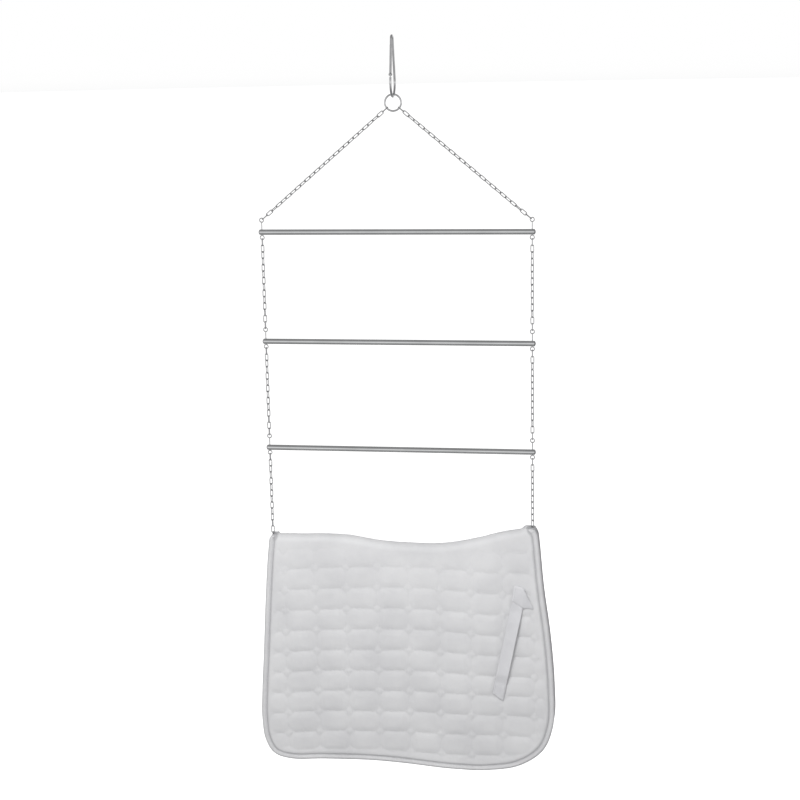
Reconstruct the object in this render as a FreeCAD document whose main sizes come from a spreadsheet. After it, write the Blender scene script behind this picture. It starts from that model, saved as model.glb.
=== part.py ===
import FreeCAD, Part
import math
import os

import Sketcher

# A quilted saddle pad hung on the lowest bar of a chain-hung blanket rack.
#
# Frame: millimetres, +Z up, X along the bars, -Y towards the front. The origin is the point
# inside the snap hook's top bow that rests on whatever the rack is hung from.
# From the top down: snap hook, O-ring, two sling chains, four bars joined by three tiers of
# chain, and the pad, which is draped over the fourth bar with one flap in front and one behind.

V = FreeCAD.Vector
X_AXIS = V(1, 0, 0)
Y_AXIS = V(0, 1, 0)
Z_AXIS = V(0, 0, 1)
SIDES = {"left": -1, "right": 1}
TIERS = (1, 2, 3)
BARS = (1, 2, 3, 4)

# alias, value in mm or degrees or a count, what it is
SIZES = (
    ("play", 0.3, "gap left between two linked wires"),
    ("hook_wire", 5.0, "snap hook wire diameter"),
    ("hook_tall", 130.0, "snap hook height over the wire"),
    ("hook_wide", 64.0, "snap hook width over the wire, at its bottom bow"),
    ("hook_top_bend", 10.0, "bend radius of the top bow, to the wire's centre"),
    ("gate_dia", 5.5, "gate rod diameter"),
    ("gate_pivot_up", 10.0, "gate pivot above the bottom bow, along the hook's side"),
    ("gate_long", 62.0, "gate pivot to gate tip"),
    ("gate_lap", 6.0, "half-lap of the gate tip and the nose"),
    ("rivet_dia", 2.0, "gate rivet shank diameter"),
    ("tang_thick", 2.0, "flattened tang that the gate turns on"),
    ("spring_dia", 2.8, "gate spring outer diameter"),
    ("spring_wire", 0.5, "gate spring wire diameter"),
    ("spring_long", 12.0, "gate spring length"),
    ("ring_outer", 38.4, "O-ring outer diameter"),
    ("ring_wire", 3.8, "O-ring wire diameter"),
    ("link_wire", 2.0, "chain link wire diameter"),
    ("link_wide", 8.6, "chain link width over the wire"),
    ("link_pitch", 14.0, "chain pitch when taut"),
    ("sling_links", 26, "links in each sling chain"),
    ("tier_links", 14, "links in each chain between two bars"),
    ("bar_long", 600.0, "bar length over its end caps"),
    ("bar_dia", 12.0, "bar tube diameter"),
    ("bar_wall", 1.2, "bar tube wall"),
    ("cap_dome", 3.0, "end cap dome height"),
    ("cap_plug", 3.0, "end cap plug length inside the tube"),
    ("pin_inset", 7.5, "hanger pin to the end of the bar"),
    ("pin_wire", 2.2, "hanger pin wire diameter"),
    ("pin_hole", 2.8, "cross hole for the hanger pin"),
    ("eye_outer", 11.0, "hanger pin eye outer diameter"),
    ("eye_rise", 26.0, "upper eye centre above the bar's axis"),
    ("pad_thick", 12.0, "pad thickness: cover, wadding and lining"),
    ("skin_thick", 3.0, "cover or lining with its share of quilting"),
    ("pad_gap", 6.3, "bar axis to the inner face of a flap"),
    ("bind_wide", 12.0, "width of the edge binding"),
    ("bind_thick", 13.0, "thickness of the edge binding"),
    ("flap_round_back", 85.0, "lower corner radius at the pad's back end"),
    ("flap_round_fore", 145.0, "lower corner radius at the pad's front end"),
    ("strap_wide", 27.0, "girth strap webbing width"),
    ("strap_thick", 2.4, "girth strap webbing thickness, doubled"),
    ("strap_long", 238.0, "girth strap length"),
    ("strap_stand", 6.0, "space under the girth strap for the girth"),
    ("strap_sewn_top", 44.0, "girth strap's length sewn down at its top"),
    ("strap_sewn_low", 30.0, "girth strap's length sewn down at its low end"),
    ("strap_rise", 14.0, "run of the girth strap from sewn down to standing off"),
    ("fold_wide", 37.8, "width of the three-cornered fold on top of the girth strap"),
    ("fold_long", 40.0, "height of that fold"),
    ("strap_lean", 11.5, "girth strap's lean from the vertical, degrees"),
)

# The ridge of the pad over bar 4: (x, height of the bend's centre above the bar's axis)
RIDGE = ((-285, 22), (-140, 23), (25, 0), (100, 0), (273, 48))
RIDGE_SKIRT = 62.0  # the spine's legs below the bend's centre, before they are cut off level
RIDGE_END = 0.5  # where they are cut off, above the bar's axis
# A flap's outline below bar 4 as (x, depth): upper back, lower back, lower front, upper front
FLAP_CORNERS = ((-298, 6.5), (-330, 496), (344, 510), (309, 6.5))
# The sewn top of a girth strap, in the frame of the bar it hangs below
STRAP_TOP = (265.5, -78.0)

doc = FreeCAD.newDocument("quilt_on_rack")


# ---------------------------------------------------------------- the sheet of sizes

sheet = doc.addObject("Spreadsheet::Sheet", "Sizes")
for row, (alias, value, note) in enumerate(SIZES, 1):
    sheet.set(f"A{row}", note)
    sheet.set(f"B{row}", str(value))
    sheet.setAlias(f"B{row}", alias)
doc.recompute()
size = {alias: float(getattr(sheet, alias)) for alias, _, _ in SIZES}


# ---------------------------------------------------------------- places worked out from the sizes

hook_bend = (size["hook_wide"] - size["hook_wire"]) / 2
hook_top = V(0, 0, size["hook_wire"] / 2 - size["hook_top_bend"])
hook_bottom = V(0, 0, size["hook_wire"] * 1.5 - size["hook_tall"] + hook_bend)
hook_lean = math.asin((hook_bend - size["hook_top_bend"]) / (hook_top.z - hook_bottom.z))

ring_bend = (size["ring_outer"] - size["ring_wire"]) / 2
ring_hang = hook_bottom.z - hook_bend + size["hook_wire"] / 2 + size["play"] + size["ring_wire"] / 2
ring_centre = V(0, 0, ring_hang - ring_bend)

link_bend = (size["link_wide"] - size["link_wire"]) / 2
link_reach = size["link_pitch"] + size["link_wire"] + size["play"]  # end wire to end wire
link_side = link_reach - 2 * link_bend


def chain_reach(links):
    """First link's top wire centre to last link's bottom wire centre, taut."""
    return links * size["link_pitch"] + size["link_wire"] + size["play"]


eye_bend = (size["eye_outer"] - size["pin_wire"]) / 2
eye_seat = eye_bend - (size["pin_wire"] + size["link_wire"]) / 2 - size["play"]
EYE_CLEAR = 0.2  # between the lower eye and the bar
eye_drop = (size["bar_dia"] + size["eye_outer"]) / 2 + EYE_CLEAR
pin_x = size["bar_long"] / 2 - size["pin_inset"]

# A sling runs from the ring's wire to a hanger pin's upper eye, both of which it pulls square.
sling_start = ring_bend - (size["ring_wire"] + size["link_wire"]) / 2 - size["play"]
sling_span = sling_start + chain_reach(size["sling_links"]) + eye_seat
sling_fall = math.sqrt(sling_span**2 - pin_x**2)
sling_lean = math.degrees(math.atan2(pin_x, sling_fall))

bar_pitch = eye_drop + eye_seat + chain_reach(size["tier_links"]) + eye_seat + size["eye_rise"]
bar_1_z = ring_centre.z - sling_fall - size["eye_rise"]
bar_z = {number: bar_1_z - (number - 1) * bar_pitch for number in BARS}


# ---------------------------------------------------------------- helpers


def bind(thing, **expressions):
    """Bind properties to cells of the sheet: 'Length' or 'Constraints.name' with dots as __."""
    for name, expression in expressions.items():
        thing.setExpression(name.replace("__", "."), expression)


def new_body(name):
    body = doc.addObject("PartDesign::Body", name)
    body.Label = name
    return body


def new_sketch(body, name, role, offset=0.0):
    """A sketch on one of the body's own origin planes, moved along the plane's normal."""
    sketch = body.newObject("Sketcher::SketchObject", name)
    plane = next(item for item in body.Origin.OriginFeatures if item.Role == role)
    sketch.AttachmentSupport = (plane, [""])
    sketch.MapMode = "FlatFace"
    sketch.AttachmentOffset = FreeCAD.Placement(V(0, 0, offset), FreeCAD.Rotation())
    return sketch


def add_circle(sketch, centre, diameter, expression, name):
    """A circle whose centre is fixed and whose diameter is bound to the sheet."""
    index = sketch.addGeometry(Part.Circle(V(centre[0], centre[1], 0), Z_AXIS, diameter / 2))
    sketch.addConstraint(Sketcher.Constraint("DistanceX", -1, 1, index, 3, centre[0]))
    sketch.addConstraint(Sketcher.Constraint("DistanceY", -1, 1, index, 3, centre[1]))
    number = sketch.addConstraint(Sketcher.Constraint("Diameter", index, diameter))
    sketch.renameConstraint(number, name)
    sketch.setExpression(f"Constraints.{name}", expression)
    return index


def add_lines(sketch, points, closed=True):
    """Straight runs through points given in the sketch's plane."""
    ends = points[1:] + points[:1] if closed else points[1:]
    first = sketch.GeometryCount
    for start, end in zip(points, ends):
        sketch.addGeometry(Part.LineSegment(V(*start, 0), V(*end, 0)))
    count = len(ends)
    for step in range(count - 1):
        sketch.addConstraint(Sketcher.Constraint("Coincident", first + step, 2, first + step + 1, 1))
    if closed:
        sketch.addConstraint(Sketcher.Constraint("Coincident", first + count - 1, 2, first, 1))
    return first


def part_object(kind, name, placement=None, **expressions):
    """A Part primitive with its sizes bound to the sheet."""
    thing = doc.addObject(f"Part::{kind}", name)
    bind(thing, **expressions)
    if placement:
        thing.Placement = placement
    return thing


def fuse(name, pieces):
    thing = doc.addObject("Part::MultiFuse", name)
    thing.Shapes = pieces
    thing.Label = name
    return thing


def cut(name, base, tool):
    thing = doc.addObject("Part::Cut", name)
    thing.Base = base
    thing.Tool = tool
    thing.Label = name
    return thing


def feature(name, shape, placement=FreeCAD.Placement()):
    """A sub-part whose shape is worked out here from the sheet's sizes."""
    thing = doc.addObject("Part::Feature", name)
    thing.Label = name
    thing.Shape = shape
    thing.Placement = placement
    return thing


def place(x=0.0, y=0.0, z=0.0, axis=Z_AXIS, degrees=0.0):
    return FreeCAD.Placement(V(x, y, z), FreeCAD.Rotation(axis, degrees))


nodes = []


def keep(thing):
    """List a sub-part for export."""
    nodes.append(thing)
    return thing


# ---------------------------------------------------------------- snap hook with its gate
# The hook lies in the YZ plane. Its front side is the gate, its back side is solid wire.


def hook_side(side, along):
    """A point on the hook's straight side, from the bottom bow (0) towards the top bow."""
    start = hook_bottom + V(0, side * math.cos(hook_lean), math.sin(hook_lean)) * hook_bend
    return start + V(0, -side * math.sin(hook_lean), math.cos(hook_lean)) * along


side_long = math.sqrt((hook_top.z - hook_bottom.z) ** 2 - (hook_bend - size["hook_top_bend"]) ** 2)
pivot = hook_side(-1, size["gate_pivot_up"])
GATE_FRAME = FreeCAD.Placement(pivot, FreeCAD.Rotation(X_AXIS, -math.degrees(hook_lean)))
gate_tip = size["gate_pivot_up"] + size["gate_long"]
FLAT_GAP = 0.3  # between the two flats of the half-lap
TANG_ROUND = 2.6  # radius of the tang's end about the rivet
TANG_STEP = 6.0  # how far the tang's flats reach below the rivet
SLOT_DEPTH = 3.2  # gate fork's slot above the rivet
SLOT_PLAY = 0.3  # by which the fork's slot is wider than the tang
RIVET_HEAD = 0.8  # thickness of a rivet head
HEAD_PLAY = 0.15  # between a rivet head and the gate
SPRING_TURN = 2.0  # pitch of the gate spring


def hook_paths():
    """Centre lines from the top of the bow: round the back to the pivot, and down to the nose."""
    top = hook_top + V(0, 0, size["hook_top_bend"])
    half = math.pi / 4 + hook_lean / 2
    back_mid = hook_top + V(0, math.sin(half), math.cos(half)) * size["hook_top_bend"]
    nose_mid = V(0, -back_mid.y, back_mid.z)
    base = hook_bottom - V(0, 0, hook_bend)
    back = [
        Part.Arc(top, back_mid, hook_side(1, side_long)).toShape(),
        Part.LineSegment(hook_side(1, side_long), hook_side(1, 0)).toShape(),
        Part.Arc(hook_side(1, 0), base, hook_side(-1, 0)).toShape(),
        Part.LineSegment(hook_side(-1, 0), pivot).toShape(),
    ]
    nose_end = hook_side(-1, gate_tip - size["gate_lap"])
    nose = [
        Part.Arc(top, nose_mid, hook_side(-1, side_long)).toShape(),
        Part.LineSegment(hook_side(-1, side_long), nose_end).toShape(),
    ]
    return Part.Wire(back), Part.Wire(nose)


def snap_hook():
    """Bent wire with a flattened tang for the rivet and a half-lapped nose."""
    radius = size["hook_wire"] / 2
    top = hook_top + V(0, 0, size["hook_top_bend"])
    section = Part.Wire(Part.makeCircle(radius, top, Y_AXIS))
    back, nose = (path.makePipeShell([section], True, False) for path in hook_paths())
    wire = feature("hook_wire_form", back.fuse(nose).removeSplitter())

    block = 4 * radius
    half_tang = size["tang_thick"] / 2
    tools = []
    for side in (-1, 1):
        flat = part_object("Box", f"tang_flat_{side + 1}")
        flat.Length = block
        flat.Width = block
        flat.Height = block + TANG_STEP
        corner = V(half_tang if side > 0 else -half_tang - block, -block / 2, -TANG_STEP)
        flat.Placement = GATE_FRAME.multiply(place(*corner))
        tools.append(flat)
    lap = part_object("Box", "nose_flat")
    lap.Length = block
    lap.Width = block
    lap.Height = size["gate_lap"] + FLAT_GAP
    lap_z = size["gate_long"] - size["gate_lap"]
    lap.Placement = GATE_FRAME.multiply(place(-block / 2, -FLAT_GAP / 2, lap_z))
    tools.append(lap)
    bare = cut("hook_wire_cut", wire, fuse("hook_flats", tools))

    boss = part_object("Cylinder", "tang_end", Height="Sizes.tang_thick")
    boss.Radius = TANG_ROUND
    hole = part_object("Cylinder", "tang_hole", Radius="Sizes.rivet_dia / 2")
    hole.Height = block
    boss.Placement = GATE_FRAME.multiply(place(-half_tang, 0, 0, Y_AXIS, 90))
    hole.Placement = GATE_FRAME.multiply(place(-block / 2, 0, 0, Y_AXIS, 90))
    return cut("snap_hook", fuse("hook_with_tang", [bare, boss]), hole)


def gate():
    """Round rod with a forked foot, a spring bore and a half-lapped tip."""
    radius = size["gate_dia"] / 2
    rod = part_object("Cylinder", "gate_rod", Radius="Sizes.gate_dia / 2")
    rod.Height = size["gate_long"] + radius
    rod.Placement = place(z=-radius)
    slot_wide = size["tang_thick"] + SLOT_PLAY
    slot = part_object("Box", "gate_slot")
    slot.Length = slot_wide
    slot.Width = 4 * radius
    slot.Height = 4 * radius + SLOT_DEPTH
    slot.Placement = place(-slot_wide / 2, -2 * radius, -4 * radius)
    hole = part_object("Cylinder", "gate_hole", Radius="Sizes.rivet_dia / 2 + 0.05")
    hole.Height = 4 * radius
    hole.Placement = place(-2 * radius, 0, 0, Y_AXIS, 90)
    bore = part_object("Cylinder", "gate_bore", Radius="Sizes.spring_dia / 2 + 0.2")
    bore.Height = size["spring_long"] + 1
    bore.Placement = place(z=SLOT_DEPTH - 0.2)
    lap = part_object("Box", "gate_flat")
    lap.Length = 4 * radius
    lap.Width = 2 * radius
    lap.Height = 2 * size["gate_lap"]
    lap_z = size["gate_long"] - size["gate_lap"] - FLAT_GAP
    lap.Placement = place(-2 * radius, FLAT_GAP / 2 - 2 * radius, lap_z)
    tools = fuse("gate_cuts", [slot, hole, bore, lap])
    thing = cut("gate", rod, tools)
    thing.Placement = GATE_FRAME
    return thing


def gate_rivet():
    """Shank through the fork and the tang, with a flat head at each end."""
    reach = size["gate_dia"] / 2 + HEAD_PLAY
    end = reach + RIVET_HEAD
    shank = part_object("Cylinder", "rivet_shank", Radius="Sizes.rivet_dia / 2")
    shank.Height = 2 * end
    shank.Placement = place(-end, 0, 0, Y_AXIS, 90)
    heads = []
    for number, start in enumerate((-end, reach)):
        disc = part_object("Cylinder", f"rivet_head_{number}", Radius="Sizes.rivet_dia * 0.9")
        disc.Height = RIVET_HEAD
        disc.Placement = place(start, 0, 0, Y_AXIS, 90)
        heads.append(disc)
    thing = fuse("gate_rivet", [shank] + heads)
    thing.Placement = GATE_FRAME
    return thing


def gate_spring():
    """Coil that pushes from the gate's bore on to the tang."""
    coil = (size["spring_dia"] - size["spring_wire"]) / 2
    helix = Part.makeHelix(SPRING_TURN, size["spring_long"], coil)
    section = Part.Wire(Part.makeCircle(size["spring_wire"] / 2, V(coil, 0, 0), Y_AXIS))
    shape = helix.makePipeShell([section], True, True)
    start = place(z=SLOT_DEPTH + size["spring_wire"])
    return feature("gate_spring", shape, GATE_FRAME.multiply(start))


for maker in (snap_hook, gate, gate_rivet, gate_spring):
    keep(maker())


# ---------------------------------------------------------------- O-ring and chains

o_ring = part_object(
    "Torus",
    "o_ring",
    FreeCAD.Placement(ring_centre, FreeCAD.Rotation(X_AXIS, 90)),
    Radius1="(Sizes.ring_outer - Sizes.ring_wire) / 2",
    Radius2="Sizes.ring_wire / 2",
)
keep(o_ring)


def link_shape():
    """One oval link in the XZ plane, its top end wire's centre at the origin."""
    radius = size["link_wire"] / 2
    high = V(0, 0, -link_bend)
    low = V(0, 0, -link_bend - link_side)
    piece = None
    for centre, turn in ((high, -180), (low, 180)):
        section = Part.Face(Part.Wire(Part.makeCircle(radius, centre + V(link_bend, 0, 0), Z_AXIS)))
        bow = section.revolve(centre, Y_AXIS, turn)
        piece = bow if piece is None else piece.fuse(bow)
    for side in (-1, 1):
        piece = piece.fuse(Part.makeCylinder(radius, link_side, low + V(side * link_bend, 0, 0)))
    return piece.removeSplitter()


LINK = link_shape()
LOOSE_TURN = 75  # degrees between links near a chain's ends, which turns the run by 45 degrees
LOOSE_LINKS = 3


def link_turns(links):
    """Each link's turn about the chain: square to the eye at both ends, slantwise between."""
    turns = [90.0]
    for step in range(1, links):
        near_end = step <= LOOSE_LINKS or step >= links - LOOSE_LINKS
        turns.append(turns[-1] + (LOOSE_TURN if near_end else 90))
    return turns


def chain_shape(links, first=0, count=None):
    """Links hanging down from the origin; first and count pick some of them."""
    turns = link_turns(links)
    pieces = []
    for number in range(first, links if count is None else first + count):
        piece = LINK.copy()
        piece.Placement = place(z=-number * size["link_pitch"], degrees=turns[number])
        pieces.append(piece)
    return Part.makeCompound(pieces)


def sling_chain(side):
    """A chain from the O-ring's wire out to the hanger pin at one end of bar 1."""
    lean = -SIDES[side] * sling_lean
    turn = FreeCAD.Rotation(Y_AXIS, lean)
    start = ring_centre + turn.multVec(V(0, 0, -sling_start))
    shape = chain_shape(int(size["sling_links"]))
    return feature(f"{side}_sling_chain", shape, FreeCAD.Placement(start, turn))


def tier_chain(tier, side):
    """The top link, which swings in the eye above, and the rest of the chain below it."""
    links = int(size["tier_links"])
    spot = place(SIDES[side] * pin_x, 0, bar_z[tier] - eye_drop - eye_seat)
    keep(feature(f"tier_{tier}_{side}_link", chain_shape(links, 0, 1), spot))
    keep(feature(f"tier_{tier}_{side}_chain", chain_shape(links, 1), spot))


for side in SIDES:
    keep(sling_chain(side))
for tier in TIERS:
    for side in SIDES:
        tier_chain(tier, side)


# ---------------------------------------------------------------- bars, end caps, hanger pins


def bar_tube(number):
    """Tube with a cross hole near each end."""
    body = new_body(f"bar_{number}")
    ring = new_sketch(body, f"bar_{number}_section", "YZ_Plane")
    add_circle(ring, (0, 0), size["bar_dia"], "Sizes.bar_dia", "outer")
    inner = size["bar_dia"] - 2 * size["bar_wall"]
    add_circle(ring, (0, 0), inner, "Sizes.bar_dia - 2 * Sizes.bar_wall", "inner")
    tube = body.newObject("PartDesign::Pad", f"bar_{number}_tube")
    tube.Profile = ring
    tube.SideType = "Symmetric"
    bind(tube, Length="Sizes.bar_long - 2 * Sizes.cap_dome")
    spots = new_sketch(body, f"bar_{number}_holes", "XY_Plane")
    for name, side in SIDES.items():
        add_circle(spots, (side * pin_x, 0), size["pin_hole"], "Sizes.pin_hole", name)
    holes = body.newObject("PartDesign::Pocket", f"bar_{number}_cross")
    holes.Profile = spots
    holes.SideType = "Symmetric"
    bind(holes, Length="Sizes.bar_dia * 2")
    body.Placement = place(z=bar_z[number])
    return body


def end_cap_form():
    """Domed plug, modelled on the X axis with the tube's end face at x = 0."""
    body = new_body("end_cap_form")
    outer = size["bar_dia"] / 2
    bore = outer - size["bar_wall"] - 0.02
    dome = size["cap_dome"]
    plug = size["cap_plug"]
    ball = (outer**2 + dome**2) / (2 * dome)
    half = math.asin(outer / ball) / 2
    profile = new_sketch(body, "end_cap_profile", "XZ_Plane")
    corners = [(dome, 0), (-plug, 0), (-plug, bore), (0, bore), (0, outer)]
    add_lines(profile, corners, closed=False)
    middle = V(dome - ball + ball * math.cos(half), ball * math.sin(half), 0)
    profile.addGeometry(Part.Arc(V(0, outer, 0), middle, V(dome, 0, 0)))
    profile.addConstraint(Sketcher.Constraint("Coincident", 3, 2, 4, 2))
    turned = body.newObject("PartDesign::Revolution", "end_cap_turned")
    turned.Profile = profile
    turned.ReferenceAxis = (profile, ["H_Axis"])
    turned.Angle = 360
    return body


def hanger_pin_form():
    """Wire through the bar's cross hole with an eye at each end; the bar's axis is at z = 0."""
    eyes = []
    for name, height in (("upper", size["eye_rise"]), ("lower", -eye_drop)):
        eye = part_object(
            "Torus",
            f"{name}_eye",
            place(0, 0, height, X_AXIS, 90),
            Radius1="(Sizes.eye_outer - Sizes.pin_wire) / 2",
            Radius2="Sizes.pin_wire / 2",
        )
        eyes.append(eye)
    stem = part_object("Cylinder", "pin_stem", Radius="Sizes.pin_wire / 2")
    stem_low = -eye_drop + eye_bend
    stem.Height = size["eye_rise"] - eye_bend - stem_low
    stem.Placement = place(z=stem_low)
    return fuse("hanger_pin_form", eyes + [stem])


cap_form = end_cap_form()
pin_form = hanger_pin_form()
doc.recompute()


def end_pair(name, form, x, number, turned):
    """The same piece at both ends of a bar; the left one turned round if it has a direction."""
    pieces = []
    for side in SIDES.values():
        piece = form.Shape.copy()
        half_turn = 180 if turned and side < 0 else 0
        piece.Placement = place(side * x, degrees=half_turn)
        pieces.append(piece)
    return feature(name, Part.makeCompound(pieces), place(z=bar_z[number]))


for number in BARS:
    keep(bar_tube(number))
    tube_end = size["bar_long"] / 2 - size["cap_dome"]
    keep(end_pair(f"bar_{number}_end_caps", cap_form, tube_end, number, True))
    keep(end_pair(f"bar_{number}_hanger_pins", pin_form, pin_x, number, False))


# ---------------------------------------------------------------- saddle pad
# Each flap turns about a line beside the underside of bar 4. Above that line the pad is the
# spine, which rests on the bar in the middle and stands clear of it towards both ends.


def pad_spine():
    """The pad's bend over the bar, following the ridge, cut off level with the bar's axis."""
    body = new_body("pad_spine")
    path = new_sketch(body, "ridge_line", "XZ_Plane")
    add_lines(path, [tuple(map(float, point)) for point in RIDGE], closed=False)
    section = new_sketch(body, "ridge_section", "YZ_Plane", RIDGE[0][0])
    inner = size["pad_gap"]
    outer = inner + size["pad_thick"]
    level = RIDGE[0][1]
    foot = level - RIDGE_SKIRT
    leg = ((outer, level), (outer, foot), (inner, foot), (inner, level))
    for side in (1, -1):
        for start, end in zip(leg, leg[1:]):
            ends = (V(side * start[0], start[1], 0), V(side * end[0], end[1], 0))
            section.addGeometry(Part.LineSegment(*ends))
    for reach in (outer, inner):
        section.addGeometry(Part.Arc(V(-reach, level, 0), V(0, level + reach, 0), V(reach, level, 0)))
    sweep = body.newObject("PartDesign::AdditivePipe", "ridge_sweep")
    sweep.Profile = section
    sweep.Spine = (path, [])
    sweep.Mode = "Fixed"
    sweep.Transition = "Right corner"
    under = new_sketch(body, "under_bar", "XZ_Plane")
    far = 400.0
    add_lines(under, [(-far, -far), (far, -far), (far, RIDGE_END), (-far, RIDGE_END)])
    trim = body.newObject("PartDesign::Pocket", "level_cut")
    trim.Profile = under
    trim.SideType = "Symmetric"
    bind(trim, Length="Sizes.pad_thick * 20")
    body.Placement = place(z=bar_z[4])
    return body


def corner_edges(shape, spots):
    """Names of the edges along Y that stand over the given (x, z) corners."""
    names = []
    for number, edge in enumerate(shape.Edges, 1):
        ends = [vertex.Point for vertex in edge.Vertexes]
        along_y = len(ends) == 2 and abs(ends[0].x - ends[1].x) + abs(ends[0].z - ends[1].z) < 0.01
        if along_y and any(abs(ends[0].x - x) + abs(ends[0].z - z) < 0.5 for x, z in spots):
            names.append(f"Edge{number}")
    return names


def round_corner(body, base, name, spot, expression):
    """Fillet one corner of a padded outline, with the radius bound to the sheet."""
    doc.recompute()
    fillet = body.newObject("PartDesign::Fillet", name)
    fillet.Base = (base, corner_edges(base.Shape, [spot]))
    fillet.setExpression("Radius", expression)
    return fillet


def inset(corners, by):
    """The outline moved in at its two ends and its bottom; the top stays level."""
    (back_top, top), (back, back_low), (fore, fore_low), (fore_top, _) = corners
    return (
        (back_top + by, top),
        (back + by, back_low - by),
        (fore - by, fore_low - by),
        (fore_top - by, top),
    )


def flap_piece(name, corners, offset, thick, rounds, hole=()):
    """A flat piece of a flap: an outline, its thickness from offset, and rounded low corners."""
    body = new_body(name)
    outline = new_sketch(body, f"{name}_outline", "XZ_Plane", offset)
    points = [(float(x), -float(depth)) for x, depth in tuple(corners) + tuple(hole)]
    add_lines(outline, points)
    slab = body.newObject("PartDesign::Pad", f"{name}_slab")
    slab.Profile = outline
    slab.Length = thick
    base = slab
    for number, (corner, radius) in enumerate(rounds):
        base = round_corner(body, base, f"{name}_round_{number}", (corner[0], -corner[1]), radius)
    return body


def front_flap():
    """Cover, wadding and lining inside a binding. Offsets grow towards the outside."""
    inner = inset(FLAP_CORNERS, size["bind_wide"])
    back_round = ("Sizes.flap_round_back", "Sizes.flap_round_back - Sizes.bind_wide")
    fore_round = ("Sizes.flap_round_fore", "Sizes.flap_round_fore - Sizes.bind_wide")
    inner_rounds = ((inner[1], back_round[1]), (inner[2], fore_round[1]))
    outer_rounds = ((FLAP_CORNERS[1], back_round[0]), (FLAP_CORNERS[2], fore_round[0]))
    skin = size["skin_thick"]
    core = size["pad_thick"] - 2 * skin
    swell = (size["bind_thick"] - size["pad_thick"]) / 2
    layers = (("lining", 0.0, skin), ("wadding", skin, core), ("cover", skin + core, skin))
    pieces = [
        flap_piece(f"front_{layer}", inner, size["pad_gap"] + start, thick, inner_rounds)
        for layer, start, thick in layers
    ]
    binding = flap_piece(
        "front_binding",
        FLAP_CORNERS,
        size["pad_gap"] - swell,
        size["bind_thick"],
        outer_rounds + inner_rounds,
        hole=tuple(reversed(inner)),
    )
    pieces.append(binding)
    for piece in pieces:
        piece.Placement = place(z=bar_z[4])
    return pieces + [front_girth_strap()]


def strap_outline():
    """The girth strap from the side: (height off the cover, run down the strap)."""
    thick = size["strap_thick"]
    stand = size["strap_stand"]
    leave = size["strap_sewn_top"]
    land = size["strap_long"] - size["strap_sewn_low"]
    rise = size["strap_rise"]
    long = size["strap_long"]
    under = [(0, 0), (0, leave), (stand, leave + rise), (stand, land - rise), (0, land), (0, long)]
    stand_over = stand + thick
    over = [(thick, long), (thick, land + thick), (stand_over, land - rise + thick)]
    over += [(stand_over, leave + rise - thick), (thick, leave - thick), (thick, 0)]
    return under + over


def front_girth_strap():
    """Webbing loop sewn down at both ends, with a folded three-cornered top."""
    body = new_body("front_girth_strap")
    edge = new_sketch(body, "strap_run", "YZ_Plane")
    add_lines(edge, [(-float(height), -float(run)) for height, run in strap_outline()])
    band = body.newObject("PartDesign::Pad", "strap_band")
    band.Profile = edge
    band.SideType = "Symmetric"
    bind(band, Length="Sizes.strap_wide")
    fold = new_sketch(body, "strap_fold", "XZ_Plane")
    right = size["strap_wide"] / 2
    add_lines(fold, [(right - size["fold_wide"], 0.0), (right, 0.0), (right, -size["fold_long"])])
    tab = body.newObject("PartDesign::Pad", "strap_tab")
    tab.Profile = fold
    bind(tab, Length="Sizes.strap_thick * 1.6")
    face = size["pad_gap"] + size["pad_thick"]
    top = V(STRAP_TOP[0], -face, bar_z[4] + STRAP_TOP[1])
    body.Placement = FreeCAD.Placement(top, FreeCAD.Rotation(Y_AXIS, size["strap_lean"]))
    return body


def back_flap(front):
    """The back flap's pieces are the front's, mirrored through the plane of the bars."""
    mirrored = []
    for piece in front:
        thing = doc.addObject("Part::Mirroring", piece.Name.replace("front_", "back_"))
        thing.Label = thing.Name
        thing.Source = piece
        thing.Base = V(0, 0, 0)
        thing.Normal = Y_AXIS
        mirrored.append(thing)
    return mirrored


keep(pad_spine())
front = front_flap()
for piece in front + back_flap(front):
    keep(piece)


# ---------------------------------------------------------------- check and export

doc.recompute()
for thing in doc.Objects:
    faults = {"Invalid", "Error"} & set(thing.State)
    if faults:
        raise RuntimeError(f"{thing.Label}: {sorted(faults)}")
for thing in nodes:
    if thing.Shape.isNull() or not thing.Shape.isValid():
        raise RuntimeError(f"{thing.Label}: bad shape")

os.makedirs("parts", exist_ok=True)
for thing in nodes:
    thing.Shape.exportStep(f"parts/{thing.Label}.step")
    print(f"{thing.Label:24s} {len(thing.Shape.Solids):3d} solids {thing.Shape.Volume / 1000:9.2f} cm3")
print(f"bar pitch {bar_pitch:.3f}, bars at {[round(z, 3) for z in bar_z.values()]}")
print(f"ring centre {ring_centre.z:.3f}, ring hang {ring_hang:.3f}, gate pivot {pivot}")
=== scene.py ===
"""Looks of a quilted saddle pad hung over the lowest of four chromed bars.

The bars, chains, ring and hook are the CAD nodes with metal materials. The pad's two flaps, its
bindings, girth straps and stitching are built here around the CAD frame, in the same place.
Lengths in the pad's own functions are millimetres; world() turns them into metres.
"""

import math

import bpy
import numpy as np
from mathutils import Matrix, Vector

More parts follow.
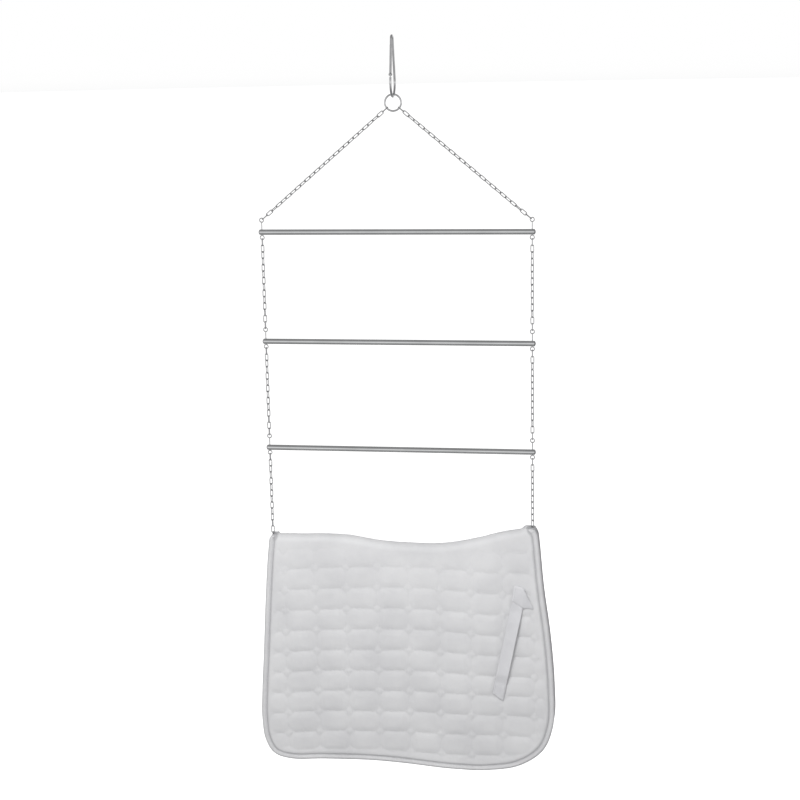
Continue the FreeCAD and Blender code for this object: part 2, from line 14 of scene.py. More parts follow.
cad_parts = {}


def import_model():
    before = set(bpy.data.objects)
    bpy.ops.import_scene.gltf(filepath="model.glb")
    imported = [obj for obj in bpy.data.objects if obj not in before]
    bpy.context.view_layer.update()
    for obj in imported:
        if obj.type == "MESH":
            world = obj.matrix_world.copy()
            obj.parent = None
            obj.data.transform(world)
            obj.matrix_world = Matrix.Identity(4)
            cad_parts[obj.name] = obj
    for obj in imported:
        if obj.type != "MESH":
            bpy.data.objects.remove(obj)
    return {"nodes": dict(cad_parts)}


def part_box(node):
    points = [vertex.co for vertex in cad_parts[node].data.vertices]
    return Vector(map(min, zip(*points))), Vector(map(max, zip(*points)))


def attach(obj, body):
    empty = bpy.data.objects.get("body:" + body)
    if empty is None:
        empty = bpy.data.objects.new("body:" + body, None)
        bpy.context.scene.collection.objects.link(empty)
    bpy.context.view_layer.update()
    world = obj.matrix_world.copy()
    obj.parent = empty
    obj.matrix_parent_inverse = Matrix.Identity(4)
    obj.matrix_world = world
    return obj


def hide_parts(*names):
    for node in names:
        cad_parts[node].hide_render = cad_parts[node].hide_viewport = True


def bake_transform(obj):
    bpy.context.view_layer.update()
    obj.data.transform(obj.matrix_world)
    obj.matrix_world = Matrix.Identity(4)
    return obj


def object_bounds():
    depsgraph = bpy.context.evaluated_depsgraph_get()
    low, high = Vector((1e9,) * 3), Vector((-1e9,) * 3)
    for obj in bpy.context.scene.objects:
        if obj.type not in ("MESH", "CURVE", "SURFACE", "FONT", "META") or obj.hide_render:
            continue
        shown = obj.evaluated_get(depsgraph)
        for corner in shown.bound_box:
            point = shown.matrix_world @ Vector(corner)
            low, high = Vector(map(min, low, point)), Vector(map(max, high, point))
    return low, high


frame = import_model()
cad_low, cad_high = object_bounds()

MM = 0.001
bar_low, bar_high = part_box("bar_4")
BAR_Z = (bar_low.z + bar_high.z) / 2

# ------------------------------------------------------------------ the pad's own sizes, in mm

# Where the hanging cloth begins to bend over the bar, as (across, height above the bar's axis)
RIDGE = (
    (-300, 24.5), (-250, 26.5), (-226, 26.5), (-169, 28), (-125, 25.5), (-45, 13.5),
    (30, 10.0), (95, 11.5), (167, 25.0), (244, 46.3), (300, 57.5),
)
MID_Y = 11.5  # from the plane of the bars to the middle of a flap's thickness
ARC = MID_Y * math.pi / 2  # from the hanging part of a flap to the ridge, over the bend
# The flaps part at both ends to let the chains through: from one over the bar to hanging apart
LEFT_NOTCH, RIGHT_NOTCH = (-274.0, -286.0), (266.0, 282.0)
LEFT_TOP, RIGHT_TOP = 40.0, 70.0  # height of a flap's edge there
# A flap's finished edge, from the ridge's left end round to its right, as (across, height above
# the bar's axis)
EDGE = (
    (-297.5, 33), (-300.5, 12), (-303.5, -12), (-312, -112), (-320, -234), (-327, -334),
    (-329, -396), (-322, -451), (-303, -483), (-264, -497), (-185, -496), (-84, -493),
    (16, -497), (116, -502), (192, -503), (262, -489), (317, -448), (340, -386),
    (341, -300), (332, -184), (317, -69), (307.5, 34), (304.5, 56), (298, 69),
)
RIDGE_LEFT, RIDGE_RIGHT = -276.0, 268.0  # between these the two flaps are one cloth over the bar
CORNER_LEFT, CORNER_RIGHT = -292.0, 292.0  # where the flaps' top edges turn down
EDGE_STEP = 2.3  # along the edge, from point to point

CELL_WIDE, CELL_TALL = 70.6, 49.1
COLUMN_SEAM, ROW_SEAM = 15.3, -25.0  # one upright seam and one level seam
ROW_CREST = 30.0  # where along the pad the level seams are highest
BOW_LEFT, BOW_LEFT_SPAN = 12.0, 256.0  # how far the level seams drop to the left, over what length
BOW_LEFT_MOST = 1.3  # in spans: beyond this the drop stays the same
BOW_RIGHT, BOW_RIGHT_SPAN = 9.0, 164.0  # the same to the right
BOW_GONE, BOW_FADE = -470.0, 330.0  # the drop to the right fades out at this level, over this height
BOW_POWER = 1.5
GEM_WIDE, GEM_TALL = 9.5, 13.0  # half sizes of the small diamonds on the level seams
VALLEY_FLAT, VALLEY_FALL = 8.5, 9.0  # half width of the dip between two columns, and its sides
VALLEY_LOFT = 0.22  # share of the loft left in the dip
PILLOW_REACH, GEM_REACH = 24.0, 7.0  # from a seam to the full height of a pillow and of a diamond
GEM_LOFT = 0.5  # a diamond's share of the loft
CREASE_WIDE, CREASE_LOFT = 3.2, 0.22  # the steep start of a pillow beside a seam, and its share

# The flap's grid: squares in a cell, rows above the first level seam, and cells each way
COLUMNS_PER_CELL, ROWS_PER_CELL, ROWS_ABOVE = 25, 18, 28
CELL_COLUMNS, CELL_ROWS = 10, 10
GRID_DX, GRID_DY = CELL_WIDE / COLUMNS_PER_CELL, CELL_TALL / ROWS_PER_CELL
GRID_LEFT = COLUMN_SEAM - CELL_COLUMNS / 2 * CELL_WIDE

SEAM_HALF = 3.0  # half thickness of the pad along a seam
COVER_LOFT, LINING_LOFT = 3.8, 1.8
SPINE_LOFT = 0.6  # share of the loft in the smooth part along the ridge
SPINE_PAD = 3.6  # thicker wadding under the ridge, which rests on the bar
BIND_WIDE = 12.5  # the tape's reach in from the edge, on each face
BIND_BELLY = 7.0  # half thickness of the bound edge
BIND_THIN = 0.12  # share of the tape's size where the slit beside a chain meets the ridge
BIND_THIN_UNTIL = 0.45  # share of the slit's length before the tape grows to its full size
GROOVE_SHADE_WIDE = 4.5  # how far from the tape's hem the painted shade of the groove reaches, each way
EDGE_TUCK, EDGE_RISE = 1.5, 6.0  # how far under the tape the loft starts, and its rise
SLIT_FLAT, SLIT_RISE = 1.0, 12.0  # the same from the edge beside a chain
EDGE_ROLL = 3.6  # height of the wadding pushed up beside the binding
ROLL_RISE, ROLL_REACH, ROLL_FALL = 5.5, 24.0, 18.0  # the roll's rise, its far end and its fall
TAUT_DEEP, TAUT_FADE = 12.0, 62.0  # no quilting this near the ridge, all of it this much lower
QUILT_HIGH, QUILT_MORE, QUILT_FADE = 0.46, 0.30, 320.0  # its share at the top, and its gain below
LINING_SHIFT = 0.37  # between the weaves of the cover and the lining

STRAP_TOP = (265.5, -78.0)  # middle of the strap's top, as (across, height)
STRAP_LEAN = math.radians(11.5)
STRAP_LONG, STRAP_WIDE, STRAP_THICK = 251.0, 27.0, 2.2
STRAP_SEAT = SEAM_HALF + 4.2  # the cover's height under the strap's sewn ends
STRAP_LOOP = 6.5  # how far the strap stands off between its sewn ends
STRAP_SLANT = 0.45  # slope of the cut across the strap's low end
# The fold's corners as (run, aside), from its upper left round to the lower right tip and back
FOLD_CORNERS = ((-16.0, -16.0), (-15.0, 5.0), (8.0, 22.0), (29.0, 37.0), (32.0, 14.0), (20.0, -13.5))
# The folded webbing's rounded rim and top, as (share of its outline, height)
FOLD_RINGS = ((1.0, 0.0), (1.0, 0.7), (0.955, 1.4), (0.8, 2.0), (0.5, 2.5), (0.2, 2.6))
FOLD_DROOP = 3.0  # how far the fold's right tip sinks towards the pad


def smooth(t):
    """A soft step from 0 to 1 as t goes from 0 to 1."""
    t = np.clip(t, 0.0, 1.0)
    return t * t * (3 - 2 * t)


def curve(x, knots):
    """Smooth cubic through knots, as heights at x."""
    kx, ky = np.array(knots, float).T
    step = np.diff(kx)
    rise = np.diff(ky) / step
    inner = (rise[:-1] * step[1:] + rise[1:] * step[:-1]) / (step[:-1] + step[1:])
    slope = np.concatenate([rise[:1], inner, rise[-1:]])
    i = np.clip(np.searchsorted(kx, x) - 1, 0, len(step) - 1)
    t = (np.asarray(x, float) - kx[i]) / step[i]
    a = (1 + 2 * t) * (1 - t) ** 2 * ky[i] + t * (1 - t) ** 2 * step[i] * slope[i]
    return a + t * t * (3 - 2 * t) * ky[i + 1] + t * t * (t - 1) * step[i] * slope[i + 1]


def notch(x):
    """0 where the flaps are one over the bar, 1 where they hang apart, at each end."""
    x = np.asarray(x, float)
    return [smooth((x - start) / (end - start)) for start, end in (LEFT_NOTCH, RIGHT_NOTCH)]


def top_of(x):
    """The highest place on the cloth at x, measured along the cloth."""
    left, right = notch(x)
    return (1 - left - right) * (curve(x, RIDGE) + ARC) + left * LEFT_TOP + right * RIGHT_TOP


def drape(x, s):
    """How far the hanging cloth stands out from its plane."""
    down = smooth((-s - 20) / 420)
    roll = 2.2 * np.sin(x / 63 + 0.8) + 1.6 * np.sin(x / 34 - s / 190 + 2.0)
    return down * (3.0 + roll) + 2.5 * smooth((-s - 330) / 160) * np.sin(x / 95 - 0.6)


def frame_at(x, s):
    """Middle of the cloth and its outward normal, front flap, as arrays of (x, y, z) in mm."""
    x, s = np.broadcast_arrays(np.asarray(x, float), np.asarray(s, float))
    centre = curve(x, RIDGE)
    bend = (1 - sum(notch(x))) / MID_Y
    over = np.maximum(s - centre, 0)
    turn = bend * over
    flat = bend < 1e-5
    safe = np.where(flat, 1.0, bend)
    inward = np.where(flat, 0.0, (1 - np.cos(turn)) / safe)
    rise = np.where(flat, over, np.sin(turn) / safe)
    y = -(MID_Y - inward + drape(x, s))
    z = np.minimum(s, centre) + rise
    middle = np.stack([x, y, z], -1)
    normal = np.stack([np.zeros_like(x), -np.cos(turn), np.sin(turn)], -1)
    return middle, normal


def on_cloth(x, s, lift):
    """A point lift mm outside the middle of the front flap."""
    middle, normal = frame_at(x, s)
    return middle + normal * np.asarray(lift)[..., None]


def world(points, side):
    """Front-flap points in mm to metres, mirrored through the plane of the bars for the back."""
    out = np.array(points, float) * MM
    out[..., 2] += BAR_Z
    if side == "back":
        out[..., 1] *= -1
    return out


def row_bow(x, level):
    """How far a level seam hangs below its straight line: more towards both ends of the pad."""
    aside = np.asarray(x, float) - ROW_CREST
    left = BOW_LEFT * np.clip(-aside / BOW_LEFT_SPAN, 0, BOW_LEFT_MOST) ** BOW_POWER
    right = BOW_RIGHT * np.clip(aside / BOW_RIGHT_SPAN, 0, 1) ** BOW_POWER
    return left + right * smooth((np.asarray(level) - BOW_GONE) / BOW_FADE)


def straight_level(x, s):
    """The level a place would have if the seams ran straight: undoes row_bow."""
    return s + row_bow(x, s + row_bow(x, s))


# ------------------------------------------------------------------ mesh helpers

def add_object(name, verts, faces, side="front", smooth_faces=None):
    """A mesh object; faces are turned over on the back, which is mirrored."""
    if side == "back":
        faces = [tuple(reversed(f)) for f in faces]
    mesh = bpy.data.meshes.new(name)
    mesh.from_pydata([tuple(v) for v in verts], [], faces)
    flags = [True] * len(faces) if smooth_faces is None else smooth_faces
    mesh.polygons.foreach_set("use_smooth", flags)
    mesh.update()
    obj = bpy.data.objects.new(name, mesh)
    bpy.context.scene.collection.objects.link(obj)
    return obj


def set_cloth_coords(obj, coords):
    """Stores where each vertex lies on its cloth, in metres, for the weave of its material."""
    layer = obj.data.attributes.new("cloth", "FLOAT_VECTOR", "POINT")
    flat = np.zeros((len(obj.data.vertices), 3), np.float32)
    flat[:, :2] = np.array(coords, np.float32)[:, :2] * MM
    layer.data.foreach_set("vector", flat.ravel())


def set_groove_shade(obj, share):
    """Stores each vertex's share of the painted shade in the stitched groove beside the binding, 0
    to 1.
    """
    layer = obj.data.attributes.new("groove", "FLOAT", "POINT")
    layer.data.foreach_set("value", np.array(share, np.float32).ravel())


def tube_faces(rows, cols):
    """Faces of a closed tube of rows rings with cols vertices each, with both ends capped."""
    faces = []
    for i in range(rows - 1):
        a, b = i * cols, (i + 1) * cols
        for j in range(cols):
            k = (j + 1) % cols
            faces.append((a + j, a + k, b + k, b + j))
    faces.append(tuple(range(cols - 1, -1, -1)))
    faces.append(tuple(range((rows - 1) * cols, rows * cols)))
    return faces


def sweep(points, across, outward, profile):
    """A tube's vertices and faces: at each point its own profile, of (across, outward) pairs."""
    sideways, out = across[:, None] * profile[..., :1], outward[:, None] * profile[..., 1:]
    verts = points[:, None] + sideways + out
    return verts.reshape(-1, 3), tube_faces(*verts.shape[:2])


def even_steps(points, step):
    """The polyline resampled at an even step."""
    points = np.array(points, float)
    run = np.concatenate([[0], np.cumsum(np.linalg.norm(np.diff(points, axis=0), axis=1))])
    count = max(2, int(round(run[-1] / step)) + 1)
    at = np.linspace(0, run[-1], count)
    return np.stack([np.interp(at, run, points[:, k]) for k in range(points.shape[1])], -1)


def through(knots, per_span=14):
    """A smooth line through knots in the plane (centripetal Catmull-Rom)."""
    k = np.array(knots, float)
    k = np.vstack([2 * k[0] - k[1], k, 2 * k[-1] - k[-2]])
    out = []
    for p0, p1, p2, p3 in zip(k, k[1:], k[2:], k[3:]):
        t1 = np.linalg.norm(p1 - p0) ** 0.5
        t2 = t1 + np.linalg.norm(p2 - p1) ** 0.5
        t3 = t2 + np.linalg.norm(p3 - p2) ** 0.5
        t = np.linspace(t1, t2, per_span, endpoint=False)[:, None]
        a1 = (t1 - t) / t1 * p0 + t / t1 * p1
        a2 = (t2 - t) / (t2 - t1) * p1 + (t - t1) / (t2 - t1) * p2
        a3 = (t3 - t) / (t3 - t2) * p2 + (t - t2) / (t3 - t2) * p3
        b1 = (t2 - t) / t2 * a1 + t / t2 * a2
        b2 = (t3 - t) / (t3 - t1) * a2 + (t - t1) / (t3 - t1) * a3
        out.append((t2 - t) / (t2 - t1) * b1 + (t - t1) / (t2 - t1) * b2)
    return np.vstack(out + [k[-2:-1]])


# ------------------------------------------------------------------ the flap's outline and grid

SLIT_NEAR = 0.5  # how close to the top of the cloth its edge counts as the slit's, mm


def finished_edge():
    """The flap's edge on the cloth from the ridge's left end round to the ridge's right end."""
    start_x = np.linspace(RIDGE_LEFT, CORNER_LEFT, 14)
    end_x = np.linspace(CORNER_RIGHT, RIDGE_RIGHT, 14)
    start, end = (np.stack([x, top_of(x)], -1) for x in (start_x, end_x))
    return even_steps(np.vstack([start[:-1], through((start[-1],) + EDGE), end]), EDGE_STEP)


def over_bar(x):
    """Whether the cloth at x is one with the other flap's, over the bar."""
    return (x >= RIDGE_LEFT) & (x <= RIDGE_RIGHT)


def in_slit(line):
    """Whether places on the edge belong to the flap's top edge beside a chain."""
    return top_of(line[:, 0]) - line[:, 1] < SLIT_NEAR


def inside(points, loop):
    """Even-odd test of points against a closed loop."""
    x, y = points[..., 0], points[..., 1]
    hit = np.zeros(x.shape, bool)
    for (ax, ay), (bx, by) in zip(loop, np.roll(loop, -1, 0)):
        if ay == by:
            continue
        crosses = (ay > y) != (by > y)
        hit ^= crosses & (x < (bx - ax) * (y - ay) / (by - ay) + ax)
    return hit


def nearest_on(points, line):
    """Nearest points of an open polyline, and how far they are."""
    a, b = line[:-1], line[1:]
    d = b - a
    size = (d * d).sum(-1)
    best = np.zeros_like(points)
    far = np.zeros(len(points))
    for start in range(0, len(points), 4000):
        p = points[start : start + 4000, None]
        t = np.clip(((p - a) * d).sum(-1) / size, 0, 1)
        q = a + t[..., None] * d
        gap = np.linalg.norm(p - q, axis=-1)
        i = gap.argmin(1)
        rows = np.arange(len(i))
        best[start : start + 4000] = q[rows, i]
        far[start : start + 4000] = gap[rows, i]
    return best, far


edge_line = finished_edge()


class Cloth:
    """The flat grid of one flap: where each vertex lies on the cloth, its faces and its rim."""

    def __init__(self):
        grid = self._grid()
        ridge_x = np.linspace(RIDGE_RIGHT, RIDGE_LEFT, 200)
        ridge = np.stack([ridge_x, top_of(ridge_x) + 0.05], -1)
        loop = np.vstack([edge_line, ridge[1:-1]])
        centres = (grid[1:, 1:] + grid[:-1, :-1] + grid[1:, :-1] + grid[:-1, 1:]) / 4
        kept = inside(centres, loop)
        index = -np.ones(grid.shape[:2], int)
        used = np.zeros(grid.shape[:2], bool)
        for di in (0, 1):
            for dj in (0, 1):
                used[di : used.shape[0] - 1 + di, dj : used.shape[1] - 1 + dj] |= kept
        index[used] = np.arange(used.sum())
        self.index = index
        self.at = grid[used].copy()
        i, j = np.nonzero(kept)
        corners = [index[i, j], index[i, j + 1], index[i + 1, j + 1], index[i + 1, j]]
        self.faces = np.stack(corners, -1)
        self.rim = self._rim()
        self._fit_edge()
        _, self.edge_gap = nearest_on(self.at, edge_line[~in_slit(edge_line)])
        _, self.slit_gap = nearest_on(self.at, edge_line[in_slit(edge_line)])
        self.ridge_gap = top_of(self.at[:, 0]) - self.at[:, 1]

    def _grid(self):
        """Places on the cloth, column by column from the left and down each from the top."""
        xs = GRID_LEFT + GRID_DX * np.arange(COLUMNS_PER_CELL * CELL_COLUMNS + 1)
        below = ROW_SEAM - GRID_DY * np.arange(ROWS_PER_CELL * CELL_ROWS + 1)
        grid = np.zeros((len(xs), ROWS_ABOVE + len(below), 2))
        grid[..., 0] = xs[:, None]
        t = np.arange(ROWS_ABOVE) / ROWS_ABOVE
        tops = top_of(xs)[:, None]
        first_seam = ROW_SEAM - row_bow(xs, ROW_SEAM)[:, None]
        grid[:, :ROWS_ABOVE, 1] = tops + (first_seam - tops) * t
        grid[:, ROWS_ABOVE:, 1] = below - row_bow(xs[:, None], below)
        return grid

    def _fit_edge(self):
        """Moves the border's vertices onto the finished edge, apart from those along the ridge."""
        on_rim = np.zeros(len(self.at), bool)
        on_rim[self.rim] = True
        on_ridge = np.zeros(len(self.at), bool)
        top_row = self.index[:, 0]
        on_ridge[top_row[top_row >= 0]] = True
        on_ridge &= over_bar(self.at[:, 0])
        moving = on_rim & ~on_ridge
        self.at[moving], _ = nearest_on(self.at[moving], edge_line)

    def _rim(self):
        """Vertices of the open border, in order round the flap."""
        follow = {}
        for face in self.faces:
            for a, b in zip(face, np.roll(face, -1)):
                if (b, a) in follow:
                    del follow[(b, a)]
                else:
                    follow[(a, b)] = b
        after = {a: b for a, b in follow}
        start = next(iter(after))
        ring, here = [start], after[start]
        while here != start:
            ring.append(here)
            here = after[here]
        return np.array(ring)


cloth = Cloth()


# ------------------------------------------------------------------ quilting

def seam_gap(x, s):
    """Distance to the nearest seam, distance to the middle of the nearest dip between columns,
    whether the place is in a diamond, and the number of its cell."""
    level_at = straight_level(x, s)
    u = np.abs((x - COLUMN_SEAM + CELL_WIDE / 2) % CELL_WIDE - CELL_WIDE / 2)
    v = np.abs((level_at - ROW_SEAM + CELL_TALL / 2) % CELL_TALL - CELL_TALL / 2)
    level = np.hypot(np.maximum(GEM_WIDE - u, 0), v)
    share = np.clip((v * GEM_TALL - (u - GEM_WIDE) * GEM_WIDE) / (GEM_WIDE**2 + GEM_TALL**2), 0, 1)
    slant = np.hypot(u - GEM_WIDE * (1 - share), v - GEM_TALL * share)
    gem = u / GEM_WIDE + v / GEM_TALL < 1
    gap = np.where(gem, slant, np.minimum(level, slant))
    column = np.floor((x - COLUMN_SEAM) / CELL_WIDE).astype(int)
    row = np.floor((level_at - ROW_SEAM) / CELL_TALL).astype(int)
    return gap, u, gem, (column, row)


def held_down(x, s):
    """1 where nothing presses the wadding, less under the sewn ends of the girth strap."""
    run, aside = strap_place(x, s)
    near = smooth((np.abs(aside) - STRAP_WIDE / 2 + 4) / 12)
    top = smooth((run - 34) / 14) + smooth((-run - 2) / 10)
    low = smooth((STRAP_LONG - 36 - run) / 14) + smooth((run - STRAP_LONG - 2) / 10)
    return np.clip(near + np.minimum(np.clip(top, 0, 1), np.clip(low, 0, 1)), 0.25, 1)


def strap_place(x, s):
    """Where a point lies along the girth strap, from its top, and aside from its middle."""
    dx, ds = x - STRAP_TOP[0], s - STRAP_TOP[1]
    run = -dx * math.sin(STRAP_LEAN) - ds * math.cos(STRAP_LEAN)
    aside = dx * math.cos(STRAP_LEAN) - ds * math.sin(STRAP_LEAN)
    return run, aside


def quilted_loft(at):
    """Share of full loft at each place: round pillows joined by low dips, none at a seam."""
    x, s = at[:, 0], at[:, 1]
    gap, u, gem, (column, row) = seam_gap(x, s)
    dome = 1 - (1 - np.clip(gap / PILLOW_REACH, 0, 1)) ** 2
    crease = smooth(gap / CREASE_WIDE)
    dip = VALLEY_LOFT + (1 - VALLEY_LOFT) * smooth((u - VALLEY_FLAT) / VALLEY_FALL)
    uneven = 1 + 0.13 * np.sin(column * 2.4 + row * 1.7) + 0.09 * np.sin(column * 5.1 - row * 3.3)
    pillow = (CREASE_LOFT * crease + (1 - CREASE_LOFT) * dome) * dip * uneven
    pucker = 0.05 * np.sin(x / 1.9 + row * 2.2 + np.sin(x / 9.0)) * np.exp(-gap / 6.0) * crease
    small = GEM_LOFT * (1 - (1 - np.clip(gap / GEM_REACH, 0, 1)) ** 2)
    return np.where(gem, small, pillow + pucker)


def edge_taper():
    """Share of loft left near the bound edge and beside the chains."""
    from_tape = smooth((cloth.edge_gap - BIND_WIDE + EDGE_TUCK) / EDGE_RISE)
    return from_tape * smooth((cloth.slit_gap - SLIT_FLAT) / SLIT_RISE)


def edge_roll():
    """The wadding pushed up beside the binding, in mm."""
    rise = smooth((cloth.edge_gap - BIND_WIDE + EDGE_TUCK) / ROLL_RISE)
    return EDGE_ROLL * rise * smooth((BIND_WIDE + ROLL_REACH - cloth.edge_gap) / ROLL_FALL)


def quilting_share():
    """Share of quilting in the loft: none along the ridge, where the pad is pulled taut."""
    most = QUILT_HIGH + QUILT_MORE * smooth(cloth.ridge_gap / QUILT_FADE)
    return smooth((cloth.ridge_gap - TAUT_DEEP) / TAUT_FADE) * most


SIM_FRAMES = 14
SIM_GROW = 10.0  # the sheet is simulated ten times its size, where the solver is steady
START_SHARE = 0.35  # share of its loft that the sheet starts with
SIDE_CAP = 1.2  # how far the solver may shift a vertex along the cloth, mm
SEWN_SHARE = 0.4  # share of the solved shape in the cover's height


def inflate(loft):
    """Blows the sewn cover up with the cloth solver. Returns each vertex's move in mm."""
    flat = np.column_stack([cloth.at * MM * SIM_GROW, loft * START_SHARE * MM * SIM_GROW])
    sheet = add_object("sheet_being_sewn", flat, [tuple(int(i) for i in f) for f in cloth.faces])
    gap = seam_gap(cloth.at[:, 0], cloth.at[:, 1])[0]
    sewn = (gap < 0.9) | (cloth.edge_gap < BIND_WIDE - 1) | (cloth.ridge_gap < 2.5)
    group = sheet.vertex_groups.new(name="sewn")
    group.add([int(i) for i in np.nonzero(sewn)[0]], 1.0, "REPLACE")
    modifier = sheet.modifiers.new("cloth", "CLOTH")
    settings = modifier.settings
    settings.quality = 4
    settings.mass = 0.3
    settings.tension_stiffness = settings.compression_stiffness = 18
    settings.shear_stiffness = 6
    settings.bending_stiffness = 0.15
    settings.tension_damping = settings.compression_damping = 12
    settings.vertex_group_mass = "sewn"
    settings.use_pressure = True
    settings.uniform_pressure_force = 22
    settings.shrink_min = -0.045
    settings.effector_weights.gravity = 0
    modifier.collision_settings.use_collision = False
    scene = bpy.context.scene
    scene.frame_start, scene.frame_end = 1, SIM_FRAMES
    modifier.point_cache.frame_start, modifier.point_cache.frame_end = 1, SIM_FRAMES
    for number in range(1, SIM_FRAMES + 1):
        scene.frame_set(number)
    bpy.context.view_layer.update()
    evaluated = sheet.evaluated_get(bpy.context.evaluated_depsgraph_get())
    after = np.zeros(len(flat) * 3, np.float32)
    evaluated.data.vertices.foreach_get("co", after)
    move = (after.reshape(-1, 3) - flat) / MM / SIM_GROW
    move[:, 2] += loft * START_SHARE
    bpy.data.objects.remove(sheet)
    scene.frame_set(1)
    return move


def cover_shape():
    """Sideways shifts and height of the cover over the seams' level, in mm."""
    pressed = held_down(cloth.at[:, 0], cloth.at[:, 1])
    loft = quilted_loft(cloth.at) * edge_taper() * pressed * COVER_LOFT
    aside = np.zeros((len(loft), 2))
    move = inflate(loft)
    aside = np.clip(move[:, :2], -SIDE_CAP, SIDE_CAP) * edge_taper()[:, None]
    blown = np.clip(move[:, 2], -0.5, COVER_LOFT * 1.5) * edge_taper() * pressed
    loft = (1 - SEWN_SHARE) * loft + SEWN_SHARE * blown
    quilting = quilting_share()
    plain = SPINE_LOFT * COVER_LOFT * edge_taper()
    roll = edge_roll() * pressed * smooth(cloth.ridge_gap / 60)
    return aside * quilting[:, None], np.maximum(plain * (1 - quilting) + loft * quilting, roll)


def lining_shape():
    """Height of the lining over the seams' level: low pillows, and the padding along the ridge."""
    pressed = smooth((-cloth.at[:, 1] - 6) / 60) * 0.6 + 0.4
    spine = SPINE_PAD * smooth(1 - cloth.ridge_gap / 24)
    return quilted_loft(cloth.at) * edge_taper() * LINING_LOFT * pressed * quilting_share() + spine


cover_aside, cover_high = cover_shape()
lining_high = lining_shape()


def height_on_cover(x, s):
    """Height of the cover at any place on it, from its nearest vertex."""
    i = np.clip(np.round((x - GRID_LEFT) / GRID_DX).astype(int), 0, cloth.index.shape[0] - 1)
    tops = top_of(GRID_LEFT + GRID_DX * i)
    first_seam = ROW_SEAM - row_bow(x, ROW_SEAM)
    above = np.round((tops - s) / (tops - first_seam) * ROWS_ABOVE)
    below = ROWS_ABOVE + np.round((ROW_SEAM - straight_level(x, s)) / GRID_DY)
    j = np.where(s > first_seam, above, below).astype(int)
    j = np.clip(j, 0, cloth.index.shape[1] - 1)
    vertex = cloth.index[i, j]
    return np.where(vertex >= 0, cover_high[vertex], 0.0)


# ------------------------------------------------------------------ the flaps

def flap(side):
    """Cover, wadding and lining of one flap as a closed quilted mesh, up to the ridge."""
    place = cloth.at + cover_aside
    outer = on_cloth(place[:, 0], place[:, 1], SEAM_HALF + cover_high)
    inner = on_cloth(cloth.at[:, 0], cloth.at[:, 1], -SEAM_HALF - lining_high)
    ridge = (cloth.ridge_gap < 1e-6) & over_bar(cloth.at[:, 0])
    outer[ridge, 1] = 0.0
    inner[ridge, 1] = 0.0
    count = len(cloth.at)
    faces = [tuple(int(i) for i in f) for f in cloth.faces]
    back = [tuple(int(i) + count for i in reversed(f)) for f in cloth.faces]
    ring = [int(i) for i in cloth.rim]
    wall = [(b, a, a + count, b + count) for a, b in zip(ring, ring[1:] + ring[:1])]
    smooth_faces = [True] * (2 * len(faces)) + [False] * len(wall)
    verts = world(np.vstack([outer, inner]), side)
    obj = add_object(f"{side}_quilted_flap", verts, faces + back + wall, side, smooth_faces)
    set_cloth_coords(obj, np.vstack([cloth.at, cloth.at + LINING_SHIFT]))
    # Painted shade: how deep each vertex lies in the stitched groove beside the binding
    beside = 1 - smooth((cloth.edge_gap - BIND_WIDE) / GROOVE_SHADE_WIDE)
    set_groove_shade(obj, np.concatenate([beside, beside]))
    obj.data.materials.append(cover_material)
    obj.data.materials.append(lining_material)
    kind = np.zeros(len(obj.data.polygons), np.int32)
    kind[len(faces) : 2 * len(faces)] = 1
    obj.data.polygons.foreach_set("material_index", kind)
    nodes = [f"{side}_cover", f"{side}_wadding", f"{side}_lining", "pad_spine"]
    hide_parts(*nodes)
    bend_with_flap(obj)
    return obj


def bend_with_flap(obj):
    """Bakes the object's placement into its mesh."""
    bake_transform(obj)


# Half the folded tape's section, from its hem round to the edge, as (inward, outward)
TAPE_HALF = (
    (12.6, 3.0), (12.4, 3.5), (11.2, 3.8), (10.2, 3.1), (8.8, 5.2), (6.0, 7.0),
    (3.2, 6.2), (1.0, 3.8), (0.0, 0.0),
)
INNER_SHARE = 0.86  # the tape's thickness on the lining's side, as a share of the cover's side


def edge_frame(line):
    """Middle of the edge at each point of line, the outward normal and the way into the flap."""
    middle, normal = frame_at(line[:, 0], line[:, 1])
    middle[over_bar(line[:, 0]) & in_slit(line), 1] = 0.0
    along = np.gradient(middle, axis=0)
    along /= np.linalg.norm(along, axis=1)[:, None]
    return middle, normal, np.cross(normal, along)


